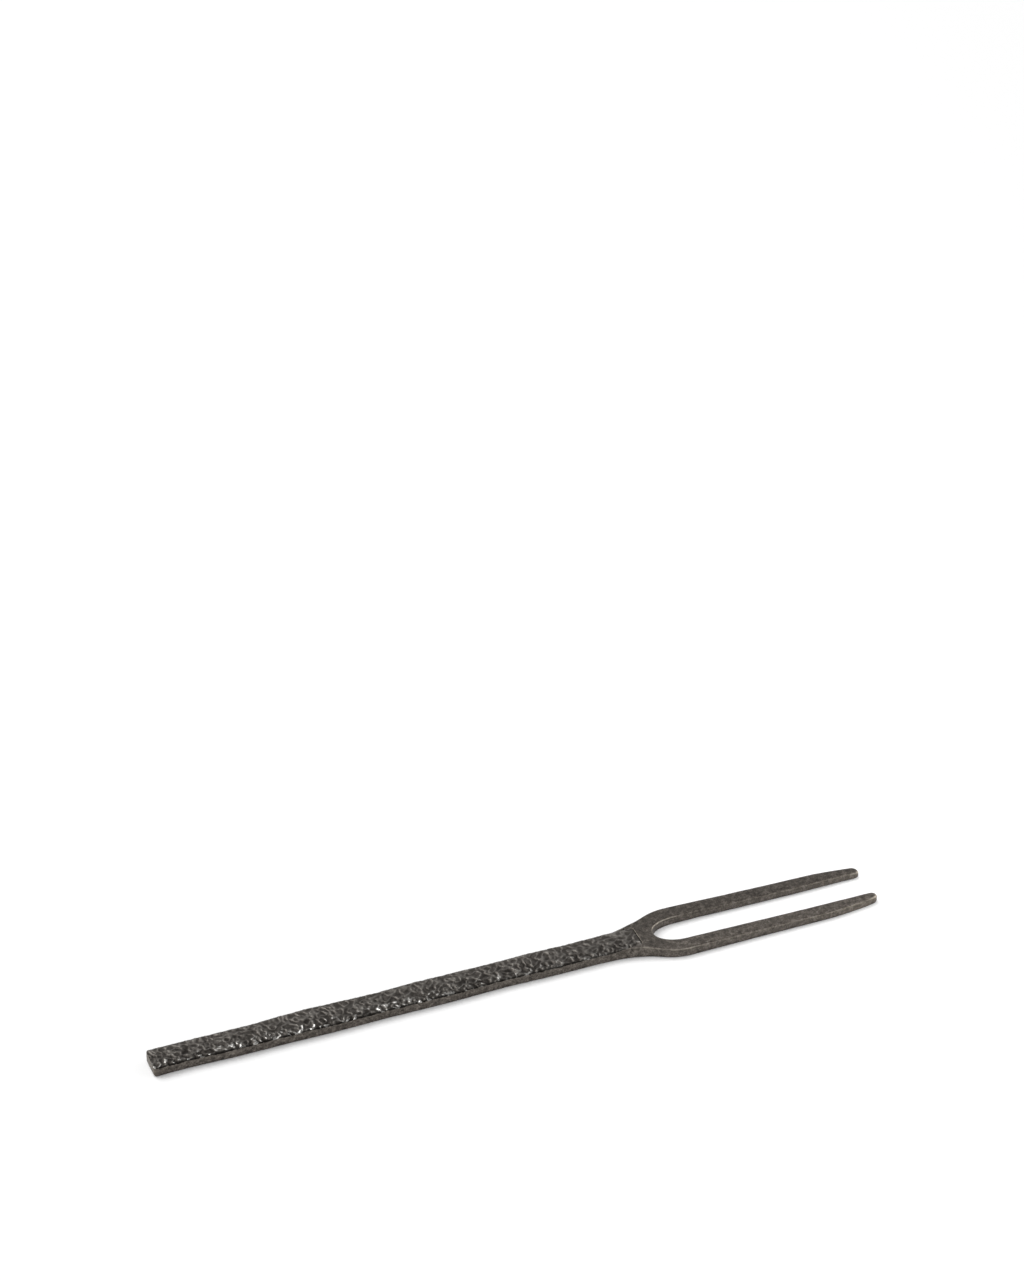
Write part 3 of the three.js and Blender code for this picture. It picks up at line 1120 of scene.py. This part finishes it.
@dataclass
class GripPlate:
    """The pitted plate along the top of the handle: soft bumps and curling ridges round dark hollows."""

    handle: Handle
    step: float = 0.086 * MM
    crown: float = 2.6 * MM
    lean_from: float = 0.8 * MM
    near_lean: float = 0.32 * MM
    near_drop: float = 0.2 * MM
    near_roll: float = 0.55 * MM
    roll_waver: float = 0.5
    roll_layer: float = 0.5
    far_drop: float = 0.12 * MM
    far_roll: float = 0.5 * MM
    end_roll: float = 0.3 * MM
    end_settle: float = 1.2 * MM
    bump_size: float = 0.9 * MM
    bump_gain: float = 0.8
    bump_fine: float = 0.3
    bump_layer: float = 0.37
    curl_size: float = 1.3 * MM
    curl_width: float = 0.35
    curl_fine: float = 0.2
    curl_layer: float = 9.1
    fine_layer: float = 4.0
    grain_stretch: float = 1.1
    near_ridge: float = 0.22 * MM
    far_ridge: float = 0.12 * MM
    swell_size: float = 4.0 * MM
    swell_height: float = 0.08 * MM
    side_slope: float = 0.15
    smooth_angle: float = math.radians(60)

    def half_width(self, x: float) -> float:
        """Half width of the plate, drawn in round its four corners.

        Args:
            x: The place along the plate.

        Returns:
            The half width.
        """
        handle = self.handle
        butt, neck = handle.corner_radius, handle.plate_corner_radius
        butt_reach = max(0.0, handle.butt_x + butt - x)
        neck_reach = max(0.0, x - handle.plate_end_x + neck)
        butt_side = butt - math.sqrt(max(0.0, butt ** 2 - butt_reach ** 2))
        neck_side = neck - math.sqrt(max(0.0, neck ** 2 - neck_reach ** 2))
        return handle.half_width - butt_side - neck_side

    def end_share(self, x: float) -> float:
        """How far a place lies into the rolled edge at the neck end, from 0 at its start to 1."""
        return max(0.0, 1 - (self.handle.plate_end_x - x) / self.end_roll)

    def roll_share(self, x: float, y: float) -> float:
        """How far a place lies into the rolled edge, from 0 at its start to 1 at the side.

        Args:
            x: The place along the plate.
            y: The place across it.

        Returns:
            The share. The roll's width wavers along the near edge.
        """
        waver = 1 + self.roll_waver * noise.noise(Vector((x, 0, self.roll_layer)) / self.swell_size)
        roll = self.near_roll * waver if y < 0 else self.far_roll
        return max(0.0, 1 - (self.half_width(x) - abs(y)) / roll)

    def top(self, x: float, y: float) -> float:
        """Height of the plate's top without its ridges.

        Args:
            x: The place along the plate.
            y: The place across it.

        Returns:
            The height: level on the far half, leaning and then rolling over on the near half, and
            settling level again to meet the rim at the neck.
        """
        settled = ease((self.handle.plate_end_x - x) / self.end_settle)
        lean = max(0.0, (self.lean_from - y) / (self.lean_from + self.handle.half_width))
        side_drop = (self.near_drop if y < 0 else self.far_drop) * self.roll_share(x, y) ** 2
        end_drop = self.far_drop * self.end_share(x) ** 2
        swell = self.swell_height * noise.noise(Vector((x, y, 0)) / self.swell_size)
        return self.crown + settled * (swell - self.near_lean * lean ** 2 - side_drop) - end_drop

    def rough(self, place: Vector, size: float, fine: float, layer: float) -> float:
        """Smooth noise of one grain size with a share of half that size added.

        Args:
            place: The place on the plate.
            size: The grain size.
            fine: The share of the finer grain.
            layer: Tells one pattern from another.

        Returns:
            A level about zero.
        """
        coarse = noise.noise(place / size + Vector((0, 0, layer)))
        half_size = noise.noise(2 * place / size + Vector((0, 0, layer + self.fine_layer)))
        return coarse + fine * half_size

    def ridge_share(self, x: float, y: float) -> float:
        """How much of a ridge stands at a place.

        Args:
            x: The place along the plate.
            y: The place across it.

        Returns:
            A share from 0 in a hollow to 1 on a crest: soft bumps with curling ridges among them.
        """
        place = Vector((x / self.grain_stretch, y, 0))
        bump = self.rough(place, self.bump_size, self.bump_fine, self.bump_layer)
        bumps = 0.5 + self.bump_gain * bump
        curl = self.rough(place, self.curl_size, self.curl_fine, self.curl_layer)
        curls = ease(1 - abs(curl) / self.curl_width)
        return (min(1.0, max(0.0, bumps)) + curls) / 2

    def build(self) -> bpy.types.Object:
        """Models the plate.

        Returns:
            The finished mesh object.
        """
        handle = self.handle
        columns = round((handle.plate_end_x - handle.butt_x) / self.step)
        rows = round(2 * handle.half_width / self.step)
        bpy.ops.object.select_all(action="DESELECT")
        bpy.ops.mesh.primitive_grid_add(x_subdivisions=columns, y_subdivisions=rows, size=1)
        plate = bpy.context.object
        plate.name = "plate"
        self.shape_top(plate)
        self.close_sides(plate)
        handle.waver(plate)
        smooth(plate, self.smooth_angle)
        return plate

    def shape_top(self, plate: bpy.types.Object) -> None:
        """Shapes the grid to the top, and notes each point's shares of a ridge and of the roll.

        Args:
            plate: A flat grid of unit size.
        """
        handle = self.handle
        length = handle.plate_end_x - handle.butt_x
        ridges = [0.0] * len(plate.data.vertices)
        rolls = list(ridges)
        for point in plate.data.vertices:
            x = handle.butt_x + length * (point.co.x + 0.5)
            y = 2 * self.half_width(x) * point.co.y
            ridge = self.ridge_share(x, y)
            to_far = 0.5 + y / (2 * handle.half_width)
            rise = self.near_ridge + (self.far_ridge - self.near_ridge) * to_far
            rise *= 1 - self.end_share(x)
            point.co = (x, y, self.top(x, y) + rise * (ridge - 0.5))
            ridges[point.index] = ridge
            rolls[point.index] = max(self.end_share(x), self.roll_share(x, y) if y < 0 else 0.0)
        plate.data.attributes.new("ridge", "FLOAT", "POINT").data.foreach_set("value", ridges)
        plate.data.attributes.new("roll", "FLOAT", "POINT").data.foreach_set("value", rolls)

    def close_sides(self, plate: bpy.types.Object) -> None:
        """Draws the top's open border down to the flat underside and closes it.

        Args:
            plate: The shaped top.
        """
        bottom = self.handle.plate_bottom
        edit(plate, Pick.EDGES, lambda m: False)
        bpy.ops.mesh.select_non_manifold()
        bpy.ops.mesh.extrude_region_move(TRANSFORM_OT_translate={"value": (0, 0, -self.crown)})
        leave_edit()
        for point in plate.data.vertices:
            point.co.z = max(point.co.z, bottom)
        edit(plate, Pick.EDGES, lambda m: m.z < bottom + SNUG)
        bpy.ops.mesh.edge_face_add()
        bpy.ops.mesh.select_all(action="SELECT")
        bpy.ops.mesh.normals_make_consistent(inside=False)
        leave_edit()

    def dress(self, plate: bpy.types.Object) -> None:
        """Gives the plate its finish, with matt cast sides, and its place on the frame.

        Args:
            plate: The finished plate.
        """
        plate.data.materials.append(PittedBrass().material())
        plate.data.materials.append(CastBrass().material())
        for face in plate.data.polygons:
            face.material_index = int(face.normal.z < self.side_slope)
        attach(plate, "root")
        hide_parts("grip_plate")


@dataclass
class SolderFilm:
    """The thin layer of solder that holds the plate in its seat, wiped flush with the sides."""

    handle: Handle
    station_step: float = 1.0 * MM
    corner_steps: int = 6
    smooth_angle: float = math.radians(30)

    def build(self) -> bpy.types.Object:
        """Models the film.

        Returns:
            The finished mesh object.
        """
        handle = self.handle
        butt, neck = handle.corner_radius, handle.plate_corner_radius
        half = handle.half_width
        start = handle.butt_x + butt
        end = handle.plate_end_x - neck
        steps = round((end - start) / self.station_step)
        side = arc(Vector((start, half - butt)), Vector((butt, butt)), 180, 90, self.corner_steps)
        side += [Vector((start + (end - start) * k / steps, half)) for k in range(1, steps)]
        side += arc(Vector((end, half - neck)), Vector((neck, neck)), 90, 0, self.corner_steps)
        outline = side + [Vector((p.x, -p.y)) for p in reversed(side)]
        film = raise_slab("film", outline, handle.tang_thickness, handle.plate_bottom)
        handle.waver(film)
        smooth(film, self.smooth_angle)
        return film

    def dress(self, film: bpy.types.Object) -> None:
        """Gives the film its finish and its place on the frame.

        Args:
            film: The finished film.
        """
        film.data.materials.append(BlackenedSolder().material())
        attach(film, "root")
        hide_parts("solder_film")


@dataclass(frozen=True)
class Lamp:
    """A square softbox that faces the fork.

    Its lean is in degrees from straight up, and its bearing in degrees to the left of the view's far
    side. Its share is what it adds to a white surface, where 1 is white.
    """

    name: str
    lean: float
    bearing: float
    distance: float
    width: float
    share: float

    def hang(self, turn: float) -> None:
        """Hangs the lamp.

        Args:
            turn: The view's turn about Z, in radians.
        """
        lean = math.radians(self.lean)
        bearing = math.pi / 2 - turn + math.radians(self.bearing)
        towards = Vector((
            math.sin(lean) * math.cos(bearing), math.sin(lean) * math.sin(bearing), math.cos(lean),
        ))
        lamp = bpy.data.lights.new(self.name, "AREA")
        lamp.shape = "SQUARE"
        lamp.size = self.width
        lamp.energy = self.share * (math.pi * self.distance) ** 2 / math.cos(lean)
        hung = bpy.data.objects.new(self.name, lamp)
        hung.location = towards * self.distance
        hung.rotation_mode = "QUATERNION"
        hung.rotation_quaternion = (-towards).to_track_quat("-Z", "Y")
        hung.visible_camera = False
        bpy.context.scene.collection.objects.link(hung)


@dataclass
class Studio:
    """The photograph's view, the paper sweep and the soft lamps."""

    lens: float = 112.5
    sensor: float = 36.0
    aim: Vector = field(default_factory=lambda: Vector((44.12 * MM, 114.63 * MM, 0)))
    distance: float = 931.1 * MM
    pitch: float = math.radians(34.49)
    turn: float = math.radians(21.72)
    paper_size: float = 4.0
    paper_gap: float = 0.02 * MM
    low_glow: float = 0.9
    high_glow: float = 0.16
    glow_low_end: float = 0.4
    glow_high_end: float = 0.85
    lamps: tuple[Lamp, ...] = (
        Lamp("left_softbox", lean=33, bearing=60, distance=5.0, width=3.9, share=0.68),
        Lamp("top_softbox", lean=12, bearing=180, distance=1.0, width=0.25, share=0.1),
        Lamp("tip_card", lean=65, bearing=250, distance=0.15, width=0.06, share=0.06),
        Lamp("end_card", lean=68, bearing=292, distance=0.215, width=0.1, share=0.09),
    )

    def place_camera(self) -> None:
        """Sets the camera where the photograph was taken from."""
        flat = math.cos(self.pitch)
        forward = Vector((flat * math.sin(self.turn), flat * math.cos(self.turn), -math.sin(self.pitch)))
        lens = bpy.data.cameras.new("photo_lens")
        lens.lens = self.lens
        lens.sensor_width = self.sensor
        lens.clip_start = MM
        camera = bpy.data.objects.new("photo_camera", lens)
        camera.location = self.aim - forward * self.distance
        camera.rotation_mode = "QUATERNION"
        camera.rotation_quaternion = forward.to_track_quat("-Z", "Y")
        bpy.context.scene.collection.objects.link(camera)
        bpy.context.scene.camera = camera

    def lay_paper(self) -> None:
        """Lays the white paper just under the fork."""
        bpy.ops.object.select_all(action="DESELECT")
        bpy.ops.mesh.primitive_plane_add(size=self.paper_size, location=(0, 0, -self.paper_gap))
        paper = bpy.context.object
        paper.name = "paper"
        paper.data.materials.append(StudioPaper().material())

    def light(self) -> None:
        """Hangs the lamps in a room that is pale low down, where the paper curves up, and dim above."""
        for lamp in self.lamps:
            lamp.hang(self.turn)
        world = bpy.data.worlds.new("pale_room")
        world.use_nodes = True
        tree = world.node_tree
        tree.nodes.clear()
        where = add_node(tree, "ShaderNodeTexCoord", {}).outputs["Generated"]
        height = add_node(tree, "ShaderNodeSeparateXYZ", {"Vector": where}).outputs["Z"]
        strength = add_node(tree, "ShaderNodeMapRange", {
            "Value": height, "From Min": self.glow_low_end, "From Max": self.glow_high_end,
            "To Min": self.low_glow, "To Max": self.high_glow,
        }).outputs["Result"]
        glow = add_node(tree, "ShaderNodeBackground", {"Strength": strength})
        add_node(tree, "ShaderNodeOutputWorld", {"Surface": glow.outputs["Background"]})
        bpy.context.scene.world = world
        bpy.context.scene.view_settings.view_transform = "Standard"


def main() -> None:
    """Builds the studio and the fork's pieces, in order, and reports each."""
    logging.basicConfig(level=logging.INFO, format="%(name)s: %(message)s")
    studio = Studio()
    studio.place_camera()
    studio.lay_paper()
    studio.light()

    handle = Handle()
    for piece in (ForkBlank(handle), GripPlate(handle), SolderFilm(handle)):
        built = piece.build()
        piece.dress(built)
        log.info("%s has %d faces", built.name, len(built.data.polygons))


if __name__ == "__main__":
    main()
